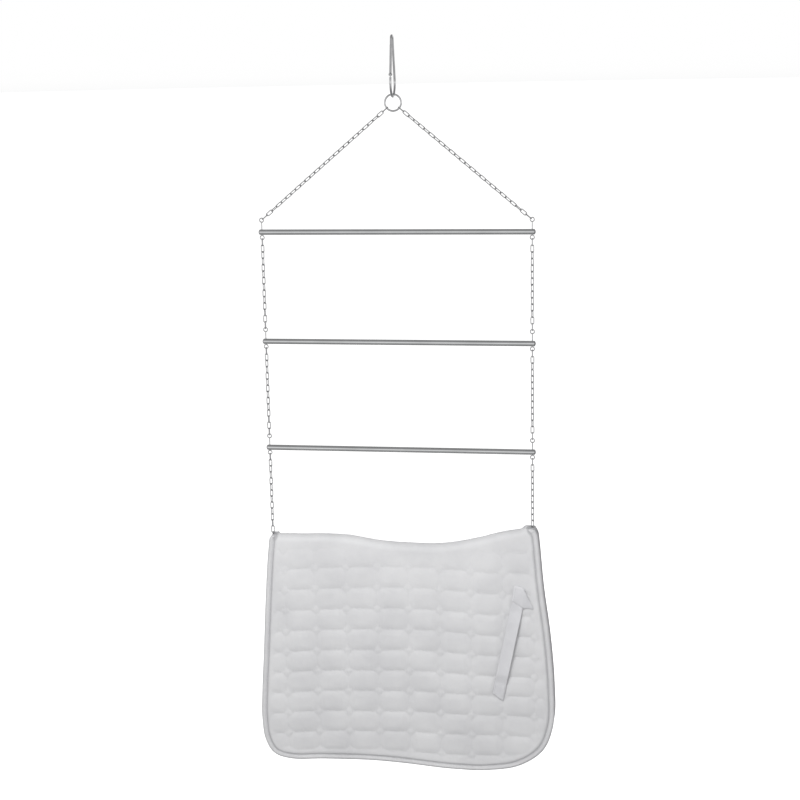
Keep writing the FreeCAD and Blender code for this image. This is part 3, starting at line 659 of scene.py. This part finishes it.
def binding(side):
    """Woven tape folded over the flap's edge, gathered a little by its stitches."""
    line = edge_line
    middle, normal, inward = edge_frame(line)
    inward /= np.linalg.norm(inward, axis=1)[:, None]
    other = tuple((a, -o * INNER_SHARE) for a, o in reversed(TAPE_HALF[:-1]))
    section = np.array(TAPE_HALF + other, float)
    profile = np.repeat(section[None], len(line), 0)
    run = np.arange(len(line)) * EDGE_STEP
    gather = 0.22 * np.sin(run / 1.15 + 1.3 * np.sin(run / 17)) + 0.16 * np.sin(run / 2.9 + 0.7)
    to_left = (RIDGE_LEFT - line[:, 0]) / (RIDGE_LEFT - CORNER_LEFT)
    to_right = (line[:, 0] - RIDGE_RIGHT) / (CORNER_RIGHT - RIDGE_RIGHT)
    along_slit = np.maximum(to_left, to_right)
    growing = (along_slit - BIND_THIN_UNTIL) / (1 - BIND_THIN_UNTIL)
    grown = smooth(np.where(in_slit(line), growing, 1.0))
    profile *= (BIND_THIN + (1 - BIND_THIN) * grown)[:, None, None]
    belly = np.clip(np.abs(profile[..., 1]) / BIND_BELLY, 0, 1)
    profile[..., 1] += np.sign(profile[..., 1]) * belly * gather[:, None]
    wander = 0.35 * np.sin(run / 23 + 0.4) + 0.2 * np.sin(run / 8.1)
    profile[:, :2, 0] += wander[:, None]
    profile[:, -2:, 0] += wander[:, None]
    verts, faces = sweep(middle, inward, normal, profile)
    obj = add_object(f"{side}_edge_binding", world(verts, side), faces, side)
    steps = np.concatenate([[0], np.cumsum(np.linalg.norm(np.diff(section, axis=0), axis=1))])
    coords = np.stack(np.meshgrid(run, steps, indexing="ij"), -1).reshape(-1, 2)
    set_cloth_coords(obj, coords)
    # Painted shade towards the tape's hems, in the groove beside the binding
    from_hem = np.minimum(steps, steps[-1] - steps)
    set_groove_shade(obj, np.tile(1 - smooth(from_hem / GROOVE_SHADE_WIDE), (len(line), 1)))
    obj.data.materials.append(tape_material)
    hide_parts(f"{side}_binding")
    bend_with_flap(obj)
    return obj


# ------------------------------------------------------------------ stitches

THREAD_LIFT = 0.25  # of a quilting stitch off the cover
BIND_ROW = (10.4, 3.5)  # the row of stitches on the tape, as (inward, outward)
BIND_PITCH = 3.6  # from stitch to stitch of that row


def stitches(name, starts, ends, normals, side, radius=0.42):
    """Short thread stitches between pairs of points, each a small tapered bead of thread."""
    starts, ends, normals = (np.array(a, float) for a in (starts, ends, normals))
    along = ends - starts
    across = np.cross(along, normals)
    across /= np.linalg.norm(across, axis=1)[:, None]
    rings = []
    for t, wide in ((0.0, 0.0), (0.14, 0.75), (0.5, 1.0), (0.86, 0.75), (1.0, 0.0)):
        centre = starts + along * t + normals * (0.35 * radius * math.sin(math.pi * t))
        if wide == 0.0:
            rings.append(centre[:, None])
            continue
        r = radius * wide
        quad = [across * r, normals * r, -across * r, -normals * r]
        rings.append(np.stack([centre + q for q in quad], 1))
    verts = np.concatenate(rings, 1)
    per = verts.shape[1]
    unit = [(0, 1 + (k + 1) % 4, 1 + k) for k in range(4)]
    for a, b in ((1, 5), (5, 9)):
        unit += [(a + k, a + (k + 1) % 4, b + (k + 1) % 4, b + k) for k in range(4)]
    unit += [(9 + k, 9 + (k + 1) % 4, 13) for k in range(4)]
    faces = [tuple(i + n * per for i in f) for n in range(len(verts)) for f in unit]
    obj = add_object(name, world(verts.reshape(-1, 3), side), faces, side)
    obj.data.materials.append(thread_material)
    return obj


def stitch_pairs(a, b, pitch=4.3, share=0.72):
    """Start and end of each stitch of a straight run from a to b, on the cloth."""
    a, b = np.array(a, float), np.array(b, float)
    length = np.linalg.norm(b - a)
    count = max(1, int(round(length / pitch)))
    t = np.arange(count) / count
    gap = (1 - share) / 2 / count
    return a + (b - a) * (t + gap)[:, None], a + (b - a) * (t + 1 / count - gap)[:, None]


def quilt_seam_runs():
    """Every straight seam of the quilting, as pairs of places on the cloth."""
    runs = []
    half = CELL_COLUMNS // 2
    for i in range(-half, half + 1):
        for j in range(-CELL_ROWS, 3):
            x, s = COLUMN_SEAM + i * CELL_WIDE, ROW_SEAM + j * CELL_TALL
            runs.append(((x + GEM_WIDE, s), (x + CELL_WIDE - GEM_WIDE, s)))
            corners = [(x + GEM_WIDE, s), (x, s + GEM_TALL)]
            corners += [(x - GEM_WIDE, s), (x, s - GEM_TALL)]
            runs += list(zip(corners, corners[1:] + corners[:1]))
    return runs


def quilt_stitches(side):
    """Thread along the quilting seams of the cover."""
    pairs = [stitch_pairs(a, b) for a, b in quilt_seam_runs()]
    starts = np.vstack([p[0] for p in pairs])
    ends = np.vstack([p[1] for p in pairs])
    for points in (starts, ends):
        points[:, 1] -= row_bow(points[:, 0], points[:, 1])
    middle = (starts + ends) / 2
    clear = inside(middle, edge_line) & (top_of(middle[:, 0]) - middle[:, 1] > 30)
    middle, starts, ends = middle[clear], starts[clear], ends[clear]
    _, gap = nearest_on(middle, edge_line)
    run, aside = strap_place(middle[:, 0], middle[:, 1])
    under = (np.abs(aside) < STRAP_WIDE / 2) & (run > 0) & (run < STRAP_LONG)
    clear = (gap > BIND_WIDE + 1) & ~under
    starts, ends = starts[clear], ends[clear]
    lift = SEAM_HALF + THREAD_LIFT
    a, b = (on_cloth(x, s, lift + height_on_cover(x, s)) for x, s in (starts.T, ends.T))
    _, normal = frame_at((starts[:, 0] + ends[:, 0]) / 2, (starts[:, 1] + ends[:, 1]) / 2)
    obj = stitches(f"{side}_quilting_thread", a, b, normal, side)
    bend_with_flap(obj)
    return obj


def binding_stitches(side):
    """The row of stitches that holds the binding, on the outer face of the flap."""
    line = even_steps(edge_line[~in_slit(edge_line)], BIND_PITCH)
    middle, normal, inward = edge_frame(line)
    seat = middle + inward * BIND_ROW[0] + normal * BIND_ROW[1]
    a, b = (seat[:-1] + (seat[1:] - seat[:-1]) * share for share in (0.12, 0.84))
    obj = stitches(f"{side}_binding_thread", a, b, normal[:-1], side, radius=0.34)
    bend_with_flap(obj)
    return obj


# ------------------------------------------------------------------ girth strap

def strap_frame(run, aside, lift):
    """A point on the girth strap: run down it, aside from its middle, lift off the pad's middle."""
    x = STRAP_TOP[0] - run * math.sin(STRAP_LEAN) + aside * math.cos(STRAP_LEAN)
    s = STRAP_TOP[1] - run * math.cos(STRAP_LEAN) - aside * math.sin(STRAP_LEAN)
    return on_cloth(x, s, lift)


def strap_lift(run):
    """Height of the webbing's underside: sewn down at both ends, a loop between."""
    up = smooth((run - 38) / 34) * smooth((STRAP_LONG - 30 - run) / 30)
    return STRAP_SEAT + STRAP_LOOP * up


def webbing(side):
    """The girth strap: one band of webbing, its sewn ends and its standing middle."""
    run = np.linspace(0, STRAP_LONG, 150)
    half_wide, thick = STRAP_WIDE / 2, STRAP_THICK
    selvage = [(half_wide - 2.2, thick * 1.05), (half_wide - 0.5, thick * 0.95)]
    selvage.append((half_wide, thick * 0.5))
    top = [(-a, out) for a, out in reversed(selvage)]
    top += [(a, thick) for a in np.linspace(-9, 9, 7)] + selvage
    low = [(half_wide - 0.5, 0.1), (0, 0.0), (-half_wide + 0.5, 0.1)]
    section = np.array(top + low, float)
    aside, out = section.T
    cup = 0.8 * np.sin(run / 60.0) + 0.5 * np.sin(run / 21.0)
    verts = []
    for r, bend in zip(run, cup):
        tilt = 0.9 * smooth((r - 60) / 60) * aside / half_wide * smooth((200 - r) / 60)
        lift = strap_lift(r) + out + (bend * (aside / half_wide) ** 2 + tilt)
        slant = STRAP_SLANT * aside * smooth((r - 200) / 40)
        verts.append(strap_frame(r + slant, aside, lift))
    verts = np.array(verts)
    rows, cols = verts.shape[:2]
    verts, faces = world(verts.reshape(-1, 3), side), tube_faces(rows, cols)
    obj = add_object(f"{side}_girth_webbing", verts, faces, side)
    coords = np.stack([np.repeat(aside[None], rows, 0), np.repeat(run[:, None], cols, 1)], -1)
    set_cloth_coords(obj, coords.reshape(-1, 2))
    obj.data.materials.append(webbing_material)
    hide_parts(f"{side}_girth_strap")
    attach(obj, f"{side}_flap")
    return obj


def strap_fold(side):
    """The webbing's folded three-cornered top, lying on the band."""
    corners = np.array(FOLD_CORNERS)
    centre = corners.mean(0)
    rim = even_steps(np.vstack([corners, corners[:1]]), 3.2)[:-1]
    verts, coords = [], []
    for share, out in FOLD_RINGS:
        at = centre + (rim - centre) * share
        droop = FOLD_DROOP * smooth((at[:, 1] - 10) / 18)
        verts.append(strap_frame(at[:, 0], at[:, 1], STRAP_SEAT + STRAP_THICK + out - droop))
        coords.append(at[:, ::-1])
    verts = world(np.concatenate(verts), side)
    faces = tube_faces(len(FOLD_RINGS), len(rim))
    obj = add_object(f"{side}_girth_strap_fold", verts, faces, side)
    set_cloth_coords(obj, np.concatenate(coords))
    obj.data.materials.append(webbing_material)
    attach(obj, f"{side}_flap")
    return obj


def strap_stitches(side):
    """Box stitching at the strap's low end and round its folded top."""
    wide = STRAP_WIDE / 2 - 2.6
    low_a, low_b = STRAP_LONG - 27, STRAP_LONG - 4
    box = [(low_a, -wide), (low_a, wide), (low_b, wide), (low_b, -wide)]
    runs = list(zip(box, box[1:] + box[:1])) + [(box[0], box[2]), (box[1], box[3])]
    fold = [(-11.0, -12.0), (-10.0, 4.0), (13.0, 10.0), (17.0, -9.0)]
    runs_top = list(zip(fold, fold[1:] + fold[:1]))
    starts, ends, lifts = [], [], []
    for group, lift in ((runs, STRAP_THICK + 0.3), (runs_top, STRAP_THICK + 2.5)):
        for a, b in group:
            p, q = stitch_pairs(a, b, 3.4)
            starts.append(p)
            ends.append(q)
            lifts.append(np.full(len(p), lift))
    starts, ends, lifts = np.vstack(starts), np.vstack(ends), np.concatenate(lifts)
    a = strap_frame(starts[:, 0], starts[:, 1], strap_lift(starts[:, 0]) + lifts)
    b = strap_frame(ends[:, 0], ends[:, 1], strap_lift(ends[:, 0]) + lifts)
    normal = np.zeros_like(a)
    normal[:, 1] = -1
    obj = stitches(f"{side}_girth_strap_thread", a, b, normal, side, radius=0.38)
    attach(obj, f"{side}_flap")
    return obj


# ------------------------------------------------------------------ materials

def new_material(name, colour, rough, metal=0.0):
    """A Principled material and its shader node."""
    mat = bpy.data.materials.new(name)
    mat.use_nodes = True
    shader = mat.node_tree.nodes["Principled BSDF"]
    shader.inputs["Base Color"].default_value = (*colour, 1)
    shader.inputs["Roughness"].default_value = rough
    shader.inputs["Metallic"].default_value = metal
    return mat, shader


def add_node(mat, kind, **values):
    """A node with its properties and sockets set by name."""
    node = mat.node_tree.nodes.new(kind)
    for key, value in values.items():
        if hasattr(node, key):
            setattr(node, key, value)
        else:
            node.inputs[key.replace("_", " ")].default_value = value
    return node


def join(mat, out, into):
    """Links an output socket to an input socket."""
    mat.node_tree.links.new(out, into)


def ramp(mat, source, low, high, start=0.0, end=1.0):
    """Maps a value onto a run of two colours."""
    node = mat.node_tree.nodes.new("ShaderNodeValToRGB")
    first, last = node.color_ramp.elements
    first.position, last.position = start, end
    first.color, last.color = (*low, 1), (*high, 1)
    join(mat, source, node.inputs["Fac"])
    return node.outputs["Color"]


def ramp_value(mat, source, start, end, high, low=0.0):
    """Maps a value from start..end onto low..high."""
    node = mat.node_tree.nodes.new("ShaderNodeMapRange")
    node.inputs["From Min"].default_value = start
    node.inputs["From Max"].default_value = end
    node.inputs["To Min"].default_value = low
    node.inputs["To Max"].default_value = high
    join(mat, source, node.inputs["Value"])
    return node.outputs["Result"]


def blend_colours(mat, a, b, factor, mode="MIX"):
    """Mixes colour b over a; each is a socket or a plain colour."""
    node = mat.node_tree.nodes.new("ShaderNodeMix")
    node.data_type, node.blend_type = "RGBA", mode
    for socket, value in ((node.inputs[6], a), (node.inputs[7], b), (node.inputs[0], factor)):
        if isinstance(value, bpy.types.NodeSocket):
            join(mat, value, socket)
        else:
            socket.default_value = value if isinstance(value, float) else (*value, 1)
    return node.outputs[2]


SOIL = (0.62, 0.62, 0.63)  # colour of the thicker threads
GROOVE_SHADE = (0.66, 0.66, 0.67)  # painted shade: how much of the cloth's colour is left deep in a stitched groove
WAVE_TURN = 2 * math.pi / 20  # the wave texture's scale times the length of one wave


def woven(mat, shader, pitch, ribs, height, colour, shade):
    """Woven cloth on the piece's own cloth coordinates: threads both ways, darker slubs, painted
    shade in the stitched groove.
    """
    where = add_node(mat, "ShaderNodeAttribute", attribute_name="cloth").outputs["Vector"]
    waves = []
    for direction, spacing in (("X", pitch), ("Y", pitch * ribs)):
        wave = add_node(mat, "ShaderNodeTexWave", bands_direction=direction)
        wave.inputs["Scale"].default_value = WAVE_TURN / spacing
        wave.inputs["Distortion"].default_value = 0.6
        wave.inputs["Detail"].default_value = 1.0
        wave.inputs["Detail Scale"].default_value = 2.0
        join(mat, where, wave.inputs["Vector"])
        waves.append(wave.outputs["Fac"])
    threads = add_node(mat, "ShaderNodeMath", operation="MULTIPLY")
    join(mat, waves[0], threads.inputs[0])
    join(mat, waves[1], threads.inputs[1])
    cloudy = add_node(mat, "ShaderNodeTexNoise", Scale=9.0, Detail=4.0, Roughness=0.6)
    join(mat, where, cloudy.inputs["Vector"])
    slub = add_node(mat, "ShaderNodeTexNoise", Scale=420.0, Detail=2.0, Roughness=0.5)
    join(mat, where, slub.inputs["Vector"])
    base = ramp(mat, cloudy.outputs["Fac"], shade, colour, 0.32, 0.62)
    base = blend_colours(mat, base, SOIL, ramp_value(mat, slub.outputs["Fac"], 0.55, 0.85, 0.22))
    base = blend_colours(mat, base, shade, ramp_value(mat, threads.outputs[0], 0.3, 0.0, 0.35))
    # Painted shade: the cloth's colour darkened deep in the stitched groove beside the binding
    groove = add_node(mat, "ShaderNodeAttribute", attribute_name="groove").outputs["Fac"]
    base = blend_colours(mat, base, GROOVE_SHADE, groove, "MULTIPLY")
    join(mat, base, shader.inputs["Base Color"])
    crease = add_node(mat, "ShaderNodeTexNoise", Scale=85.0, Detail=3.0, Roughness=0.55)
    crease.inputs["Distortion"].default_value = 0.4
    join(mat, where, crease.inputs["Vector"])
    soft = add_node(mat, "ShaderNodeBump", Strength=0.35, Distance=0.0009)
    join(mat, crease.outputs["Fac"], soft.inputs["Height"])
    fine = add_node(mat, "ShaderNodeBump", Strength=0.55, Distance=height)
    join(mat, threads.outputs[0], fine.inputs["Height"])
    join(mat, soft.outputs["Normal"], fine.inputs["Normal"])
    join(mat, fine.outputs["Normal"], shader.inputs["Normal"])
    rough = ramp_value(mat, slub.outputs["Fac"], 0.3, 0.7, 0.95, low=0.78)
    join(mat, rough, shader.inputs["Roughness"])
    shader.inputs["Sheen Weight"].default_value = 0.18
    shader.inputs["Sheen Roughness"].default_value = 0.55
    shader.inputs["Specular IOR Level"].default_value = 0.28


def cloth_material(name, pitch, ribs, height, colour, shade):
    """A woven material; pitch and height are those of its threads, in metres."""
    mat, shader = new_material(name, colour, 0.85)
    woven(mat, shader, pitch, ribs, height, colour, shade)
    return mat


def metal_material(name, colour, dull, rough, rough_worn, grain, wear, scratch):
    """Plated metal: faint smears in the gloss, darker specks of wear, fine polishing marks."""
    mat, shader = new_material(name, colour, rough, 1.0)
    where = add_node(mat, "ShaderNodeTexCoord").outputs["Object"]
    smear = add_node(mat, "ShaderNodeTexNoise", Scale=grain, Detail=5.0, Roughness=0.6)
    join(mat, where, smear.inputs["Vector"])
    speck = add_node(mat, "ShaderNodeTexNoise", Scale=grain * 14, Detail=2.0, Roughness=0.7)
    join(mat, where, speck.inputs["Vector"])
    base = ramp(mat, smear.outputs["Fac"], dull, colour, 0.3, 0.6)
    base = blend_colours(mat, base, dull, ramp_value(mat, speck.outputs["Fac"], 0.62, 0.8, wear))
    join(mat, base, shader.inputs["Base Color"])
    gloss = ramp_value(mat, smear.outputs["Fac"], 0.3, 0.75, rough_worn, low=rough)
    join(mat, gloss, shader.inputs["Roughness"])
    marks = add_node(mat, "ShaderNodeBump", Strength=scratch, Distance=0.0001)
    join(mat, speck.outputs["Fac"], marks.inputs["Height"])
    join(mat, marks.outputs["Normal"], shader.inputs["Normal"])
    return mat


# The pitch, ribs and height of each cloth's threads, its colour and its shade
CLOTHS = {
    "quilted_cotton": (0.00085, 1.0, 0.00022, (0.80, 0.80, 0.81), (0.70, 0.70, 0.715)),
    "cotton_lining": (0.0007, 1.0, 0.00015, (0.76, 0.76, 0.77), (0.68, 0.68, 0.69)),
    "binding_tape": (0.0012, 0.45, 0.0002, (0.79, 0.79, 0.80), (0.69, 0.69, 0.705)),
    "strap_webbing": (0.0021, 0.6, 0.00045, (0.80, 0.80, 0.82), (0.69, 0.69, 0.715)),
    "sewing_thread": (0.0006, 1.0, 0.0001, (0.82, 0.82, 0.83), (0.74, 0.74, 0.75)),
}
cover_material, lining_material, tape_material, webbing_material, thread_material = (
    cloth_material(name, *look) for name, look in CLOTHS.items()
)

# Each metal's colour, dull colour, roughness clean and worn, grain, wear and scratches
METALS = {
    "bar_chrome": ((0.86, 0.87, 0.88), (0.75, 0.76, 0.77), 0.07, 0.13, 14.0, 0.15, 0.008),
    "hook_nickel": ((0.74, 0.74, 0.75), (0.58, 0.58, 0.59), 0.14, 0.26, 60.0, 0.35, 0.08),
    "chain_nickel": ((0.66, 0.66, 0.67), (0.48, 0.48, 0.49), 0.16, 0.34, 120.0, 0.5, 0.15),
    "cap_nickel": ((0.40, 0.40, 0.41), (0.28, 0.28, 0.29), 0.2, 0.34, 90.0, 0.4, 0.1),
    "spring_steel": ((0.45, 0.45, 0.47), (0.32, 0.32, 0.34), 0.25, 0.4, 200.0, 0.5, 0.2),
}
chrome, hook_metal, chain_metal, cap_metal, spring_metal = (
    metal_material(name, *look) for name, look in METALS.items()
)


def dress_metal():
    """Gives each carried CAD node its metal."""
    for name, obj in frame["nodes"].items():
        if name in ("snap_hook", "gate", "gate_rivet", "o_ring"):
            mat = hook_metal
        elif name == "gate_spring":
            mat = spring_metal
        elif name.endswith(("chain", "link", "pins")):
            mat = chain_metal
        elif "cap" in name:
            mat = cap_metal
        elif name.startswith("bar"):
            mat = chrome
        else:
            continue
        obj.data.materials.clear()
        obj.data.materials.append(mat)


# ------------------------------------------------------------------ floor, light and camera

FLOOR_BELOW, FLOOR_RADIUS = 0.22, 80
# The world's brightness, as (direction from straight down to straight up, share)
WORLD_STOPS = (
    (0.0, 0.26), (0.16, 0.35), (0.30, 0.49), (0.45, 0.66), (0.493, 1.0),
    (0.52, 1.0), (0.60, 0.64), (0.76, 0.44), (0.88, 0.32), (1.0, 0.27),
)
WORLD_AT_SIDES = 0.85  # the world's light from the left and right, as a share of that from the front
WORLD_TURN = 0.7  # square of a direction's y from which on the light is the front's or the back's
# Each lamp's name, place, aim, width and power
LAMPS = (
    ("key_lamp", (-0.15, -1.6, 0.0), (0, 0, -1.2), 0.9, 22),
    ("back_lamp", (0.4, 2.2, 0.0), (0, 0, -1.3), 1.2, 20),
)


def studio_floor():
    """A plain pale floor, which throws no light onto the object."""
    spot = (0, 0, cad_low.z - FLOOR_BELOW)
    bpy.ops.mesh.primitive_circle_add(
        vertices=96, radius=FLOOR_RADIUS, fill_type="NGON", location=spot
    )
    floor = bpy.context.object
    floor.name = "studio_floor"
    mat, shader = new_material("studio_floor", (0.93, 0.93, 0.93), 0.95)
    shader.inputs["Emission Color"].default_value = (1, 1, 1, 1)
    shader.inputs["Emission Strength"].default_value = 0.8
    floor.data.materials.append(mat)
    floor.visible_glossy = False
    floor.visible_diffuse = False


def studio_world():
    """A grey world, bright at the horizon and darker above, below and to the left and right."""
    sky = bpy.data.worlds.new("studio")
    bpy.context.scene.world = sky
    sky.use_nodes = True
    split = add_node(sky, "ShaderNodeSeparateXYZ")
    join(sky, add_node(sky, "ShaderNodeTexCoord").outputs["Generated"], split.inputs[0])
    shade = add_node(sky, "ShaderNodeValToRGB")
    join(sky, ramp_value(sky, split.outputs["Z"], -1, 1, 1), shade.inputs["Fac"])
    square = add_node(sky, "ShaderNodeMath", operation="POWER")
    square.inputs[1].default_value = 2
    join(sky, split.outputs["Y"], square.inputs[0])
    aside = ramp_value(sky, square.outputs["Value"], 0, WORLD_TURN, 1, low=WORLD_AT_SIDES)
    product = add_node(sky, "ShaderNodeVectorMath", operation="SCALE")
    join(sky, shade.outputs["Color"], product.inputs[0])
    join(sky, aside, product.inputs["Scale"])
    join(sky, product.outputs["Vector"], sky.node_tree.nodes["Background"].inputs["Color"])
    elements = shade.color_ramp.elements
    for place, value in WORLD_STOPS[1:-1]:
        elements.new(place)
    for element, (place, value) in zip(elements, WORLD_STOPS):
        element.position = place
        element.color = (value, value, value, 1)


def studio_lamps():
    """Two soft round lamps, in front of and behind the rack, which aren't seen in the metal."""
    for name, spot, aim, wide, power in LAMPS:
        lamp = bpy.data.lights.new(name, "AREA")
        lamp.shape, lamp.size, lamp.energy = "DISK", wide, power
        obj = bpy.data.objects.new(name, lamp)
        obj.location = spot
        obj.rotation_mode = "QUATERNION"
        obj.rotation_quaternion = (Vector(aim) - Vector(spot)).to_track_quat("-Z", "Y")
        obj.visible_glossy = False
        bpy.context.scene.collection.objects.link(obj)


CAMERA_AWAY = 3.523
YAW, PITCH, ROLL = math.radians(8.81), math.radians(12.35), math.radians(-1.09)
AIM_RIGHT, AIM_DOWN = 0.003, 0.3681  # from the middle of bar 1 to the camera's target
SENSOR, LENS = 36.0, 72.456  # in mm


def camera():
    """The camera stands a little to the right of the rack and looks slightly down at it."""
    bar_1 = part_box("bar_1")
    target = Vector((AIM_RIGHT, 0, (bar_1[0].z + bar_1[1].z) / 2 - AIM_DOWN))
    near = math.cos(PITCH)
    ahead = Vector((-math.sin(YAW) * near, math.cos(YAW) * near, -math.sin(PITCH)))
    level = Vector((math.cos(YAW), math.sin(YAW), 0))
    up = level.cross(ahead)
    right = math.cos(ROLL) * level + math.sin(ROLL) * up
    above = -math.sin(ROLL) * level + math.cos(ROLL) * up
    data = bpy.data.cameras.new("camera")
    data.sensor_width = SENSOR
    data.lens = LENS
    obj = bpy.data.objects.new("camera", data)
    turn = Matrix((right, above, -ahead)).transposed().to_4x4()
    obj.matrix_world = Matrix.Translation(target - ahead * CAMERA_AWAY) @ turn
    bpy.context.scene.collection.objects.link(obj)
    bpy.context.scene.camera = obj
    bpy.context.scene.view_settings.view_transform = "Standard"


for side in ("front", "back"):
    flap(side)
    binding(side)
    quilt_stitches(side)
    binding_stitches(side)
    webbing(side)
    strap_fold(side)
    strap_stitches(side)
dress_metal()
studio_floor()
studio_world()
studio_lamps()
camera()
